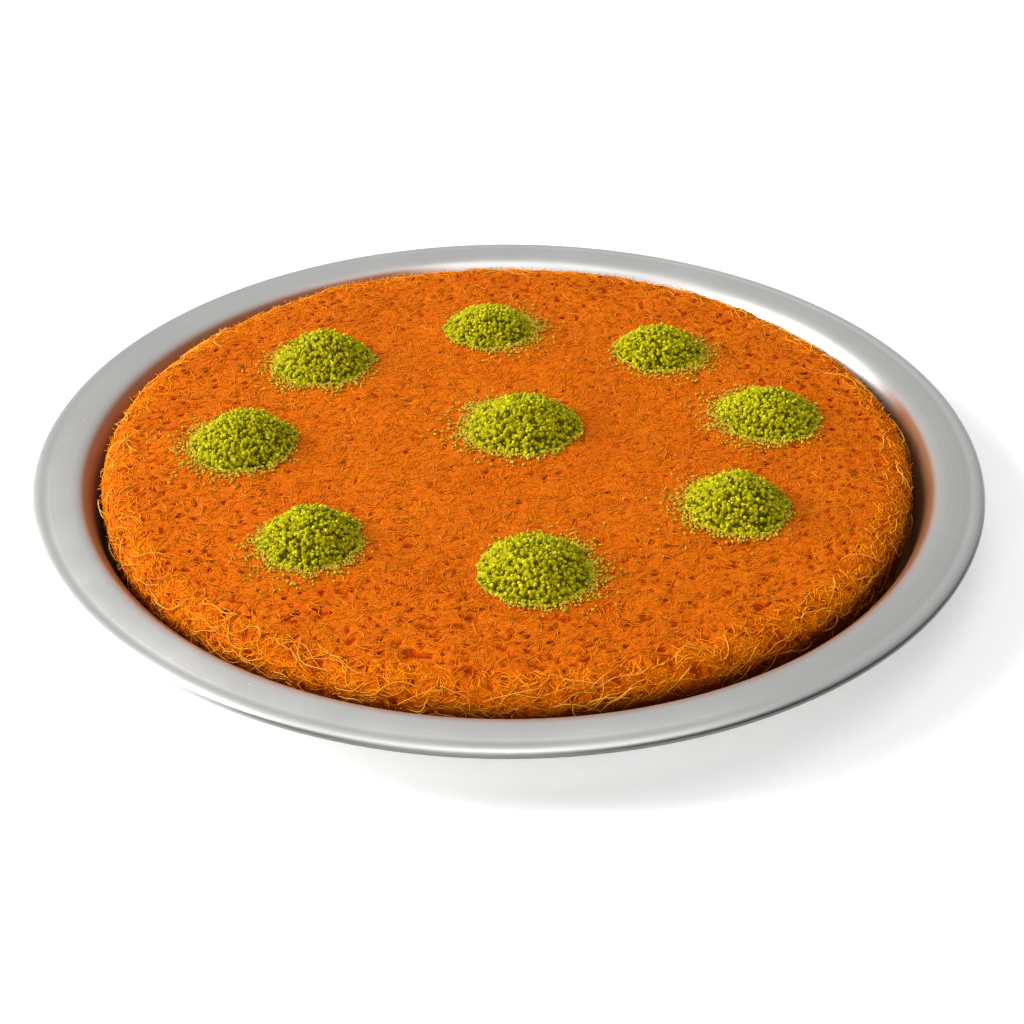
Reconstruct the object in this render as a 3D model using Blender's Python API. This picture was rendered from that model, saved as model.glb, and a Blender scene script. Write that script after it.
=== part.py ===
"""A round of kunafa in its shallow spun aluminium tray, with nine mounds of ground pistachio on top.

Metres, +Z up. The origin is the centre of the tray's underside, and -Y is the side that is served from.
"""

import math
import random

import bmesh
import bpy
from mathutils import Vector, noise
from mathutils.geometry import delaunay_2d_cdt

MM = 0.001

# Tray: a flat base, a leaning wall, a flat rim and a flattened, rolled bead round the edge
TRAY_RADIUS = 200 * MM
RIM_INNER_RADIUS = 184.7 * MM
TRAY_DEPTH = 26 * MM
SHEET = 1.2 * MM
BASE_RADIUS = 164.6 * MM
BASE_CORNER = 8 * MM
LIP_FILLET = 10 * MM
WALL_LEAN = math.radians(12)
BEAD_RADIUS = 3.5 * MM
BEAD_FLATNESS = 0.6
BEAD_END = -135
BEAD_NECK = 3.3 * MM
TRAY_SIDES = 60
RIM_Z = SHEET + TRAY_DEPTH

# Kunafa: a thick round of shredded pastry that stands a little above the rim
GAP = 0.3 * MM
KUNAFA_RADIUS = 170.5 * MM
KUNAFA_FOOT_RADIUS = 162.8 * MM
KUNAFA_SHIFT_X = -1 * MM
KUNAFA_TOP_Z = RIM_Z + 4 * MM
KUNAFA_BASE_Z = SHEET + GAP
EDGE_WIDTH = 12 * MM
EDGE_DROP = 8 * MM
EDGE_ARC = math.pi / 2 * math.sqrt((EDGE_WIDTH**2 + EDGE_DROP**2) / 2)
FLAT_RADIUS = KUNAFA_RADIUS - EDGE_WIDTH
STRAIGHT_SIDE_SHARE = 0.6
KUNAFA_SIDES = 72
TOP_SPACING = 17 * MM
TOP_POINT_CLEARANCE = 7 * MM
TOP_WAVE = 0.7 * MM
TOP_WAVE_LENGTH = 55 * MM
OUTLINE_WAVE = 0.9 * MM

# Strands of pastry fused to the round, at their real thickness
STRAND_HALF_WIDTH = 0.65 * MM
STRAND_COUNT = 98
STRAND_SEGMENTS = 5
STRAND_SHORTEST = 34 * MM
STRAND_LONGEST = 62 * MM
STRAND_BEND = math.radians(75)
STRAND_EDGE_TURN = 0.5
STRAND_END_DIP = 1.3 * MM
STRAND_TRIES = 30
LOWEST_STRAND_SHARE = 0.5
LOOP_BAND_SHARE = 0.93
LOOP_SHARE = 0.9
LOOP_LIFT = 2.0 * MM
GOLDEN_ANGLE = math.radians(137.50776)

# Mounds: where each one's middle lies from the tray's centre, its radius and its height, in millimetres
MOUNDS = [
    ("centre", (6, 14), 25, 12.8),
    ("back", (-9, 102), 20.5, 10),
    ("back_right", (69, 81), 20.5, 10.8),
    ("right", (113, 22), 22.5, 10.5),
    ("front_right", (93, -48), 22, 13.5),
    ("front", (10, -94), 23.5, 13.2),
    ("front_left", (-78, -72.5), 21.5, 12.5),
    ("left", (-112, 0), 23, 13.2),
    ("back_left", (-84, 71), 22.5, 13.2),
]
DOME_POWER = 1.1
GRAIN_SPACING = 3.0 * MM
GRAIN_INSET = 2.2 * MM
GRAIN_JITTER = 0.6 * MM
GRAIN_BUMP = 0.7 * MM
MOUND_EDGE = 0.9 * MM
MOUND_OUTLINE_WAVE = 0.05
SEAT_MARGIN = 1.2 * MM
SEAT_BLEND = 8 * MM
SEAT_SIDES = 18


def clear_scene():
    for obj in list(bpy.data.objects):
        bpy.data.objects.remove(obj, do_unlink=True)


def material(name, colour, roughness, metallic=0.0):
    made = bpy.data.materials.new(name)
    made.use_nodes = True
    shader = made.node_tree.nodes["Principled BSDF"]
    shader.inputs["Base Color"].default_value = (*colour, 1.0)
    shader.inputs["Roughness"].default_value = roughness
    shader.inputs["Metallic"].default_value = metallic
    made.diffuse_color = (*colour, 1.0)
    return made


def finished(bm, name, finish, smooth_angle):
    """Turns a bmesh into a named object with its faces pointing out."""
    bmesh.ops.recalc_face_normals(bm, faces=bm.faces)
    mesh = bpy.data.meshes.new(name)
    bm.to_mesh(mesh)
    bm.free()
    mesh.materials.append(finish)
    mesh.shade_smooth()
    mesh.set_sharp_from_angle(angle=math.radians(smooth_angle))
    obj = bpy.data.objects.new(name, mesh)
    bpy.context.scene.collection.objects.link(obj)
    return obj


def arc(centre_r, centre_z, radius, start, end, steps, flatness=1.0):
    """Points (r, z) on an arc, which flatness squashes; the angles are in degrees, 0 outwards and 90 up."""
    points = []
    for step in range(steps + 1):
        angle = math.radians(start + (end - start) * step / steps)
        points.append((centre_r + radius * math.cos(angle), centre_z + flatness * radius * math.sin(angle)))
    return points


def tray_profile():
    """The tray's section, from the middle of its inside, over the rim, to the middle of its underside."""
    lean = math.degrees(WALL_LEAN)
    corner_z = SHEET + BASE_CORNER
    lip_z = RIM_Z - LIP_FILLET
    bead_r = TRAY_RADIUS - BEAD_RADIUS
    inside = [(0, SHEET)]
    inside += arc(BASE_RADIUS, corner_z, BASE_CORNER, -90, -lean, 2)
    inside += arc(RIM_INNER_RADIUS, lip_z, LIP_FILLET, 180 - lean, 90, 3)
    bead_z = RIM_Z - BEAD_FLATNESS * BEAD_RADIUS
    bead = arc(bead_r, bead_z, BEAD_RADIUS, 90, BEAD_END, 5, BEAD_FLATNESS)
    neck = [(bead_r - BEAD_NECK, RIM_Z - SHEET)]
    underside = arc(RIM_INNER_RADIUS, lip_z, LIP_FILLET - SHEET, 90, 180 - lean, 2)
    underside += arc(BASE_RADIUS, corner_z, BASE_CORNER + SHEET, -lean, -90, 2)
    return inside + bead + neck + underside + [(0, 0)]


def make_tray(finish):
    bm = bmesh.new()
    section = [bm.verts.new((r, 0, z)) for r, z in tray_profile()]
    edges = [bm.edges.new(pair) for pair in zip(section, section[1:])]
    bmesh.ops.spin(
        bm,
        geom=section + edges,
        axis=(0, 0, 1),
        cent=(0, 0, 0),
        angle=2 * math.pi,
        steps=TRAY_SIDES,
        use_merge=True,
    )
    bmesh.ops.remove_doubles(bm, verts=bm.verts, dist=0.01 * MM)
    return finished(bm, "tray", finish, 40)


def smoothstep(value):
    value = min(1.0, max(0.0, value))
    return value * value * (3 - 2 * value)


def bare_wave(x, y):
    return TOP_WAVE * noise.noise(Vector((x, y, 0.013)) / TOP_WAVE_LENGTH)


def top_height(x, y):
    """The bare top of the round, which is gently uneven and level under each mound."""
    height = bare_wave(x, y)
    for _, (mound_x, mound_y), radius, _ in MOUNDS:
        seat_x = mound_x * MM
        seat_y = mound_y * MM
        beyond = math.hypot(x - seat_x, y - seat_y) - radius * MM - 2 * SEAT_MARGIN
        share = smoothstep(beyond / SEAT_BLEND)
        height = share * height + (1 - share) * bare_wave(seat_x, seat_y)
    return KUNAFA_TOP_Z + height


def outline_wave(angle):
    return OUTLINE_WAVE * (0.5 * math.sin(3 * angle + 0.8) + 0.3 * math.sin(7 * angle) + 0.2 * math.sin(16 * angle))


def on_round(along, angle):
    """The point and the outward direction at a distance along the skin from the middle of the top."""
    turn = math.pi / 2 * min(1.0, max(0.0, (along - FLAT_RADIUS) / EDGE_ARC))
    down_side = max(0.0, along - FLAT_RADIUS - EDGE_ARC)
    radius = min(along, FLAT_RADIUS) + EDGE_WIDTH * math.sin(turn)
    radius += outline_wave(angle) * smoothstep(radius / FLAT_RADIUS)
    x = KUNAFA_SHIFT_X + radius * math.cos(angle)
    y = radius * math.sin(angle)
    z = top_height(x, y) - EDGE_DROP * (1 - math.cos(turn)) - down_side
    sideways = EDGE_DROP * math.sin(turn)
    outward = Vector((sideways * math.cos(angle), sideways * math.sin(angle), EDGE_WIDTH * math.cos(turn)))
    return Vector((x, y, z)), outward.normalized()


def in_a_seat(x, y, margin):
    for _, (mound_x, mound_y), radius, _ in MOUNDS:
        if math.hypot(x - mound_x * MM, y - mound_y * MM) < radius * MM + margin:
            return True
    return False


def ring_points(x, y, radius, count):
    return [
        Vector((x + radius * math.cos(2 * math.pi * k / count), y + radius * math.sin(2 * math.pi * k / count)))
        for k in range(count)
    ]


def top_plan():
    """The top's points seen from above, and the edges that its triangles keep: its rim and the seats."""
    points = []
    edges = []

    def add_loop(loop):
        first = len(points)
        points.extend(loop)
        edges.extend((first + k, first + (k + 1) % len(loop)) for k in range(len(loop)))

    add_loop([on_round(FLAT_RADIUS, 2 * math.pi * k / KUNAFA_SIDES)[0].xy for k in range(KUNAFA_SIDES)])
    for _, (mound_x, mound_y), radius, _ in MOUNDS:
        add_loop(ring_points(mound_x * MM, mound_y * MM, radius * MM + SEAT_MARGIN, SEAT_SIDES))
    rings = int(FLAT_RADIUS / TOP_SPACING)
    for ring in range(1, rings):
        radius = FLAT_RADIUS * ring / rings
        count = max(6, round(2 * math.pi * radius / TOP_SPACING))
        for point in ring_points(KUNAFA_SHIFT_X, 0, radius, count):
            if not in_a_seat(point.x, point.y, TOP_POINT_CLEARANCE):
                points.append(point)
    return points, edges


def make_round(finish):
    """The bare round: a triangulated top, a rounded edge, a side and a flat foot."""
    bm = bmesh.new()
    points, edges = top_plan()
    made = delaunay_2d_cdt(points, edges, [], 1, 1e-7)
    plan, faces, sources = made[0], made[2], made[3]
    verts = [bm.verts.new((p.x, p.y, top_height(p.x, p.y))) for p in plan]
    for face in faces:
        bm.faces.new([verts[k] for k in face])
    rim = [None] * KUNAFA_SIDES
    for vert, origins in zip(verts, sources):
        for origin in origins:
            if origin < KUNAFA_SIDES:
                rim[origin] = vert
    side_depth = KUNAFA_TOP_Z - EDGE_DROP - KUNAFA_BASE_Z
    for beyond in (0.5 * EDGE_ARC, EDGE_ARC, EDGE_ARC + STRAIGHT_SIDE_SHARE * side_depth):
        along = FLAT_RADIUS + beyond
        ring = [bm.verts.new(on_round(along, 2 * math.pi * k / KUNAFA_SIDES)[0]) for k in range(KUNAFA_SIDES)]
        bridge(bm, rim, ring)
        rim = ring
    foot = [
        bm.verts.new((p.x, p.y, KUNAFA_BASE_Z))
        for p in ring_points(KUNAFA_SHIFT_X, 0, KUNAFA_FOOT_RADIUS, KUNAFA_SIDES)
    ]
    bridge(bm, rim, foot)
    bm.faces.new(foot)
    return finished(bm, "kunafa", finish, 35)


def bridge(bm, upper, lower):
    for k in range(len(upper)):
        after = (k + 1) % len(upper)
        bm.faces.new((upper[k], upper[after], lower[after], lower[k]))


def strand_path(rng, along, angle, lift):
    """Points and outward directions of one strand that lies on the round, bent evenly and dipped at its ends."""
    length = rng.uniform(STRAND_SHORTEST, STRAND_LONGEST)
    heading = rng.uniform(0, math.pi)
    if along > FLAT_RADIUS:
        heading = math.pi / 2 + rng.uniform(-STRAND_EDGE_TURN, STRAND_EDGE_TURN)
    bend = rng.uniform(-STRAND_BEND, STRAND_BEND)
    step = length / STRAND_SEGMENTS
    local_x = along
    local_y = 0.0
    path = []
    for k in range(STRAND_SEGMENTS + 1):
        share = k / STRAND_SEGMENTS
        reach = math.hypot(local_x, local_y)
        point, outward = on_round(reach, angle + math.atan2(local_y, local_x))
        end = k in (0, STRAND_SEGMENTS)
        height = -STRAND_END_DIP if end else lift * math.sin(math.pi * share)
        path.append((point + height * outward, outward))
        direction = heading + bend * (share - 0.5)
        local_x += step * math.cos(direction)
        local_y += step * math.sin(direction)
    return path


def lies_clear(path):
    """Whether a strand keeps off the mounds and above the lower part of the side."""
    lowest_z = KUNAFA_BASE_Z + LOWEST_STRAND_SHARE * (KUNAFA_TOP_Z - KUNAFA_BASE_Z)
    points = [point for point, _ in path]
    between = [(a + b) / 2 for a, b in zip(points, points[1:])]
    for point in points + between:
        if point.z < lowest_z or in_a_seat(point.x, point.y, SEAT_MARGIN + 2 * STRAND_HALF_WIDTH):
            return False
    return True


def make_strand(path, collection, name):
    """A four-sided strand along a path, pointed at both ends."""
    bm = bmesh.new()
    points = [point for point, _ in path]
    rings = []
    for k in range(1, len(path) - 1):
        ahead = (points[k + 1] - points[k - 1]).normalized()
        up = path[k][1]
        side = ahead.cross(up).normalized()
        corners = (up, side, -up, -side)
        rings.append([bm.verts.new(points[k] + STRAND_HALF_WIDTH * corner) for corner in corners])
    for first, second in zip(rings, rings[1:]):
        bridge(bm, first, second)
    for tip, ring in ((points[0], rings[0]), (points[-1], rings[-1])):
        tip_vert = bm.verts.new(tip)
        for k in range(4):
            bm.faces.new((tip_vert, ring[k], ring[(k + 1) % 4]))
    bmesh.ops.recalc_face_normals(bm, faces=bm.faces)
    mesh = bpy.data.meshes.new(name)
    bm.to_mesh(mesh)
    bm.free()
    collection.objects.link(bpy.data.objects.new(name, mesh))


def make_strands():
    """Strands spread evenly over the top and the edge, most of those at the edge lifted in a low loop."""
    rng = random.Random(7)
    collection = bpy.data.collections.new("strands")
    bpy.context.scene.collection.children.link(collection)
    farthest = FLAT_RADIUS + EDGE_ARC
    for k in range(STRAND_COUNT):
        along = farthest * math.sqrt((k + 0.5) / STRAND_COUNT)
        looped = along > LOOP_BAND_SHARE * FLAT_RADIUS and rng.random() < LOOP_SHARE
        lift = LOOP_LIFT if looped else 0.0
        for _ in range(STRAND_TRIES):
            path = strand_path(rng, along, k * GOLDEN_ANGLE, lift)
            if lies_clear(path):
                make_strand(path, collection, f"strand_{k}")
                break
    return collection


def fuse(obj, collection):
    """Joins the collection's pieces to the object in one closed body, and removes the pieces."""
    union = obj.modifiers.new("fused_strands", "BOOLEAN")
    union.operation = "UNION"
    union.operand_type = "COLLECTION"
    union.collection = collection
    union.solver = "MANIFOLD"
    graph = bpy.context.evaluated_depsgraph_get()
    joined = bpy.data.meshes.new_from_object(obj.evaluated_get(graph))
    obj.modifiers.clear()
    obj.data = joined
    for piece in list(collection.objects):
        bpy.data.objects.remove(piece, do_unlink=True)
    bpy.data.collections.remove(collection)


def mound_outline(radius, angle, phase):
    wave = 0.6 * math.sin(2 * angle + phase) + 0.4 * math.sin(5 * angle + 2 * phase)
    return radius * (1 + MOUND_OUTLINE_WAVE * wave)


def make_mound(name, middle, radius, height, phase, finish):
    """A dome of ground nuts whose skin is bumps of grain size, on a flat foot just above its seat."""
    rng = random.Random(int(100 * phase))
    middle_x = middle[0] * MM
    middle_y = middle[1] * MM
    foot_z = KUNAFA_TOP_Z + bare_wave(middle_x, middle_y) + GAP
    sides = round(2 * math.pi * radius / GRAIN_SPACING)
    turns = [2 * math.pi * k / sides for k in range(sides)]
    plan = [mound_outline(radius, turn, phase) * Vector((math.cos(turn), math.sin(turn))) for turn in turns]
    loop = [(k, (k + 1) % sides) for k in range(sides)]
    row_height = GRAIN_SPACING * math.sqrt(3) / 2
    rows = int(radius / row_height) + 1
    for row in range(-rows, rows + 1):
        for column in range(-rows - 1, rows + 2):
            x = (column + 0.5 * (row % 2)) * GRAIN_SPACING
            point = Vector((x, row * row_height))
            limit = mound_outline(radius, math.atan2(point.y, point.x), phase) - GRAIN_INSET
            if point.length < limit:
                jitter = Vector((rng.uniform(-1, 1), rng.uniform(-1, 1))) * GRAIN_JITTER
                plan.append(point + jitter)
    made = delaunay_2d_cdt(plan, loop, [], 1, 1e-7)
    bm = bmesh.new()
    top = []
    for k, point in enumerate(made[0]):
        share = point.length / mound_outline(radius, math.atan2(point.y, point.x), phase)
        rise = 0.0
        if min(made[3][k]) >= sides:
            rise = height * (1 - min(1.0, share) ** 2) ** DOME_POWER + rng.uniform(-1, 1) * GRAIN_BUMP
        top.append(bm.verts.new((middle_x + point.x, middle_y + point.y, foot_z + MOUND_EDGE + max(0.0, rise))))
    for face in made[2]:
        bm.faces.new([top[k] for k in face])
    rim = [None] * sides
    for k, origins in enumerate(made[3]):
        for origin in origins:
            if origin < sides:
                rim[origin] = top[k]
    foot = [bm.verts.new((vert.co.x, vert.co.y, foot_z)) for vert in rim]
    bridge(bm, rim, foot)
    bm.faces.new(foot)
    return finished(bm, name, finish, 20)


def main():
    clear_scene()
    aluminium = material("spun_aluminium", (0.62, 0.62, 0.61), 0.42, 1.0)
    pastry = material("fried_kataifi_pastry", (0.80, 0.20, 0.01), 0.55)
    pistachio = material("ground_pistachio", (0.38, 0.40, 0.02), 0.8)
    make_tray(aluminium)
    kunafa = make_round(pastry)
    fuse(kunafa, make_strands())
    for k, (place, middle, radius, height) in enumerate(MOUNDS):
        make_mound(f"pistachio_mound_{place}", middle, radius * MM, height * MM, 1.0 + 0.7 * k, pistachio)


main()
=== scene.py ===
"""Looks for a round of kunafa in its spun aluminium tray, with nine mounds of ground pistachio.

Metres, +Z up. The origin is the centre of the tray's underside, and -Y is the side that it is served from.
"""

import math

import bmesh
import bpy
import numpy as np
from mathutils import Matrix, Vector, noise


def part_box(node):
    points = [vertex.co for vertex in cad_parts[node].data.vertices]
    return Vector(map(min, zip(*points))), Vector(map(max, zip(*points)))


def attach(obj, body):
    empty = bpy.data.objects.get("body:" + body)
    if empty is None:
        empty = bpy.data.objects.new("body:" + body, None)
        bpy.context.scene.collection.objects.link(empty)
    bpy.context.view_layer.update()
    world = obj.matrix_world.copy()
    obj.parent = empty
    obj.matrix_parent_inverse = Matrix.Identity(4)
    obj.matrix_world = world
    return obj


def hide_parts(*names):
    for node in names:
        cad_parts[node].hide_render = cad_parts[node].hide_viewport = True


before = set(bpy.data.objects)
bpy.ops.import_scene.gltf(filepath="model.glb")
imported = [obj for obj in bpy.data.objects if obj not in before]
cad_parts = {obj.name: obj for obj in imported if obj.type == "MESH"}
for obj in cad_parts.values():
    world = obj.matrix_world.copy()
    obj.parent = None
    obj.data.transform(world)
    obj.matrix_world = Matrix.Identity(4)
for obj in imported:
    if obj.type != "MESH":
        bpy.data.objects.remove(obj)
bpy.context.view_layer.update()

MM = 0.001

# Tray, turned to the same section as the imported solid
TRAY_RADIUS = 200 * MM
RIM_INNER_RADIUS = 184.7 * MM
TRAY_DEPTH = 26 * MM
SHEET = 1.2 * MM
BASE_RADIUS = 164.6 * MM
BASE_CORNER = 8 * MM
LIP_FILLET = 10 * MM
WALL_LEAN = math.radians(12)
BEAD_RADIUS = 3.5 * MM
BEAD_FLATNESS = 0.6
BEAD_END = -135
BEAD_NECK = 3.3 * MM
RIM_Z = SHEET + TRAY_DEPTH
BEAD_INNER_RADIUS = TRAY_RADIUS - 2 * BEAD_RADIUS
# The bead's painted shade is centred on this side, counted from +X towards +Y
SHADED_BEAD_SIDE = math.radians(-65)
# The wall on this side is lit, so the painted brown reflection leaves it out
LIT_WALL_SIDE = math.radians(60)
TRAY_SIDES = 180

# Kunafa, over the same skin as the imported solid
GAP = 0.3 * MM
KUNAFA_RADIUS = 170.5 * MM
KUNAFA_FOOT_RADIUS = 162.8 * MM
KUNAFA_SHIFT_X = -1 * MM
KUNAFA_TOP_Z = RIM_Z + 4 * MM
KUNAFA_BASE_Z = SHEET + GAP
EDGE_WIDTH = 12 * MM
EDGE_DROP = 8 * MM
EDGE_ARC = math.pi / 2 * math.sqrt((EDGE_WIDTH**2 + EDGE_DROP**2) / 2)
FLAT_RADIUS = KUNAFA_RADIUS - EDGE_WIDTH
SIDE_DEPTH = KUNAFA_TOP_Z - EDGE_DROP - KUNAFA_BASE_Z
SIDE_STRAIGHT = 0.6 * SIDE_DEPTH
TOP_WAVE = 0.7 * MM
TOP_WAVE_LENGTH = 55 * MM
OUTLINE_WAVE = 0.9 * MM

# The matted pastry under the strands: lumps, felt and small pits, more of them towards the edge
CORE_SINK = 0.2 * MM
CORE_CELLS = 232
CORE_SIDE_RINGS = 12
LUMP = 0.3 * MM
LUMP_SIZE = 7 * MM
FELT = 0.2 * MM
FELT_SIZE = 2.4 * MM
PIT_DEPTH = 0.85 * MM
PIT_SIZE = 2.8 * MM
# A pit opens where the noise is over its least value, which is lower towards the edge
PIT_LEAST_MIDDLE = 0.43
PIT_LEAST_EDGE = 0.27
PIT_CROWDING = 1.6
PIT_SOFTNESS = 0.12
# Wider pits, long from side to side, which are rarer towards the back
FRONT_PIT_SIZE = 3.6 * MM
FRONT_PIT_STRETCH = 1.7
FRONT_PIT_LEAST = 0.34
BACK_PIT_RARITY = 0.3
# No strand lies where pits open under more of it than this share
OPEN_SHARE = 0.3
STRAND_WAVE = 0.35
STRAND_TIP = 0.35
WHISKER_TIP = 0.5
WHISKER_ROOT = 0.4 * MM

# The serving side, counted from +X towards +Y, where the edge is the most ruffled
RUFFLED_SIDE = math.radians(-85)

# The heights over which the side darkens from dry strands to the foot, partly wet with syrup and partly as
# painted shade
# The dark starts higher on the right, away from the key light, as painted shade
FOOT_DARK_START_Z = RIM_Z - 1.5 * MM
FOOT_DARK_FULL_Z = RIM_Z - 10.5 * MM
FOOT_SHADE_SLOPE = 0.02

# Mounds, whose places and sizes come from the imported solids
# The degrees are the side, counted from +X towards +Y, that most of a mound's loose grains fell to
MOUND_PLACES = {
    "centre": 190,
    "back": -10,
    "back_right": -50,
    "right": 200,
    "front_right": 200,
    "front": 10,
    "front_left": 250,
    "left": 215,
    "back_left": 240,
}
MOUND_OUTLINE_WAVE = 0.05
MOUND_RAGGED = 0.8 * MM
SEAT_MARGIN = 1.2 * MM
SEAT_BLEND = 8 * MM
DOME_POWER = 1.1
DOME_LUMP = 0.9 * MM
DOME_LUMP_SIZE = 7 * MM
DOME_CELLS = 78
DOME_SINK = 0.7 * MM
DOME_CLEARANCE = 0.15 * MM
DOME_INSET = 0.3 * MM
DOME_FOOT = 0.3 * MM
CREASE_REACH = 0.75
CLUMP_SIZE = 1.8 * MM
CLUMP_RELIEF = 2.3 * MM
CRUMB_SIZE = 1.0 * MM
CRUMB_RELIEF = 0.3 * MM
# Taken off the lumps, so that they don't raise a mound; they fade out in the outer fourteenth of its radius
LUMP_LEVEL = 0.7
FOOT_BLEND = 14
# The tries and counts of grains are those of a mound of this radius
USUAL_RADIUS = 22 * MM
# How far loose grains rolled, their spread round the drift side in radians, and how much farther there
SKIRT_REACH = 2.1 * MM
SKIRT_TURN = 1.5
SKIRT_LEAN = 0.8
SKIRT_INSET = 1.5 * MM

# The photograph's view: the camera looks along +Y and down on the rim's plane
VIEW_ELEVATION = math.radians(31.72)
VIEW_DISTANCE = 0.95
VIEW_LENS = 78.5
VIEW_SHIFT = (0.0037, -0.0587)

# Sockets of the Mix node when it mixes colours
MIX_FACTOR = 0
MIX_A = 6
MIX_B = 7
MIX_RESULT = 2


def linear(hex_colour):
    """An sRGB hex colour as linear RGBA."""
    channels = [int(hex_colour[k : k + 2], 16) / 255 for k in (0, 2, 4)]
    return (*[c / 12.92 if c <= 0.04045 else ((c + 0.055) / 1.055) ** 2.4 for c in channels], 1.0)


def add_node(tree, kind, settings=None, inputs=None):
    """Adds a node with its settings; an input is a number, a colour or the output that it is linked to."""
    node = tree.nodes.new(kind)
    for name, value in (settings or {}).items():
        setattr(node, name, value)
    for socket, value in (inputs or {}).items():
        if isinstance(value, bpy.types.NodeSocket):
            tree.links.new(value, node.inputs[socket])
        else:
            node.inputs[socket].default_value = value
    return node


def new_material(name, **finish):
    """A material, its node tree and its shader, with the finish that is the same all over it."""
    made = bpy.data.materials.new(name)
    made.use_nodes = True
    shader = made.node_tree.nodes["Principled BSDF"]
    for socket, value in finish.items():
        shader.inputs[socket.replace("_", " ")].default_value = value
    return made, made.node_tree, shader


def spun_aluminium():
    """Aluminium sheet, spun over a former and dulled by washing.

    The eye sees a satin grey metal with fine rings round the tray, dull patches and small bright nicks.
    The rings spread its highlights across them, so it is brightest where they face the light. A painted
    reflection tints the wall inside brown, and painted shade darkens the underside of the bead at the front.
    """
    made, tree, shader = new_material(
        "spun_aluminium", Metallic=1.0, Anisotropic=0.35, Anisotropic_Rotation=0.25
    )
    place = add_node(tree, "ShaderNodeTexCoord").outputs["Object"]
    flat = add_node(tree, "ShaderNodeVectorMath", {"operation": "MULTIPLY"}, {0: place, 1: (1, 1, 0)})
    radius = add_node(tree, "ShaderNodeVectorMath", {"operation": "LENGTH"}, {0: flat.outputs["Vector"]})
    height = add_node(tree, "ShaderNodeSeparateXYZ", None, {"Vector": place}).outputs["Z"]
    across = add_node(tree, "ShaderNodeMath", {"operation": "ADD"}, {0: radius.outputs["Value"], 1: height})
    # Turned rings are 0.2 to 0.3 mm apart, finer than a pixel, so they are drawn 1.1 mm apart
    rings = add_node(
        tree,
        "ShaderNodeTexNoise",
        {"noise_dimensions": "1D"},
        {"W": across.outputs[0], "Scale": 1 / (1.1 * MM), "Detail": 3.0, "Roughness": 0.6},
    ).outputs["Fac"]
    # Dull patches from handling, about 35 mm across
    patches = add_node(
        tree, "ShaderNodeTexNoise", None, {"Vector": place, "Scale": 1 / (35 * MM), "Detail": 4.0}
    ).outputs["Fac"]
    # Nicks under a millimetre across, about 11 mm apart
    nicks = add_node(
        tree, "ShaderNodeTexVoronoi", None, {"Vector": place, "Scale": 1 / (11 * MM), "Randomness": 1.0}
    ).outputs["Distance"]
    nick = add_node(tree, "ShaderNodeMapRange", None, {"Value": nicks, "From Min": 0.02, "From Max": 0.05})
    tone = add_node(
        tree,
        "ShaderNodeMix",
        {"data_type": "RGBA"},
        {MIX_FACTOR: rings, MIX_A: linear("D2D2D0"), MIX_B: linear("E2E2E0")},
    )
    marked = add_node(
        tree,
        "ShaderNodeMix",
        {"data_type": "RGBA"},
        {MIX_FACTOR: nick.outputs["Result"], MIX_A: linear("FCFCFA"), MIX_B: tone.outputs[MIX_RESULT]},
    )
    # Painted shade: the underside of the bead is drawn dark at the front, for the shadowed floor that it
    # reflects
    low = add_node(
        tree,
        "ShaderNodeMapRange",
        {"interpolation_type": "SMOOTHSTEP"},
        {
            "Value": height,
            "From Min": RIM_Z - 1.3 * MM,
            "From Max": RIM_Z - 0.5 * MM,
            "To Min": 0.85,
            "To Max": 0.0,
        },
    )
    on_bead = add_node(
        tree,
        "ShaderNodeMapRange",
        None,
        {
            "Value": radius.outputs["Value"],
            "From Min": BEAD_INNER_RADIUS,
            "From Max": BEAD_INNER_RADIUS + 2 * MM,
        },
    )
    forward = add_node(
        tree,
        "ShaderNodeVectorMath",
        {"operation": "DOT_PRODUCT"},
        {0: place, 1: (math.cos(SHADED_BEAD_SIDE), math.sin(SHADED_BEAD_SIDE), 0)},
    )
    shaded_bead_side = add_node(
        tree,
        "ShaderNodeMapRange",
        {"interpolation_type": "SMOOTHSTEP"},
        {"Value": forward.outputs["Value"], "From Min": 0.3 * TRAY_RADIUS, "From Max": 0.75 * TRAY_RADIUS},
    )
    low_bead = add_node(
        tree,
        "ShaderNodeMath",
        {"operation": "MULTIPLY"},
        {0: low.outputs["Result"], 1: on_bead.outputs["Result"]},
    )
    bead_shade = add_node(
        tree,
        "ShaderNodeMath",
        {"operation": "MULTIPLY"},
        {0: low_bead.outputs[0], 1: shaded_bead_side.outputs["Result"]},
    )
    bead_shaded = add_node(
        tree,
        "ShaderNodeMix",
        {"data_type": "RGBA"},
        {MIX_FACTOR: bead_shade.outputs[0], MIX_A: marked.outputs[MIX_RESULT], MIX_B: linear("585654")},
    )
    # Painted reflection: the wall under the lip is tinted brown for the pastry that it reflects, but not at
    # the back on the right, where the light falls on it
    wall_band = add_node(
        tree,
        "ShaderNodeMapRange",
        {"interpolation_type": "SMOOTHSTEP"},
        {
            "Value": height,
            "From Min": RIM_Z - 2.3 * MM,
            "From Max": RIM_Z - 0.05 * MM,
            "To Min": 0.92,
            "To Max": 0.0,
        },
    )
    in_lip = add_node(
        tree,
        "ShaderNodeMath",
        {"operation": "LESS_THAN"},
        {0: radius.outputs["Value"], 1: RIM_INNER_RADIUS + 0.1 * MM},
    )
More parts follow.
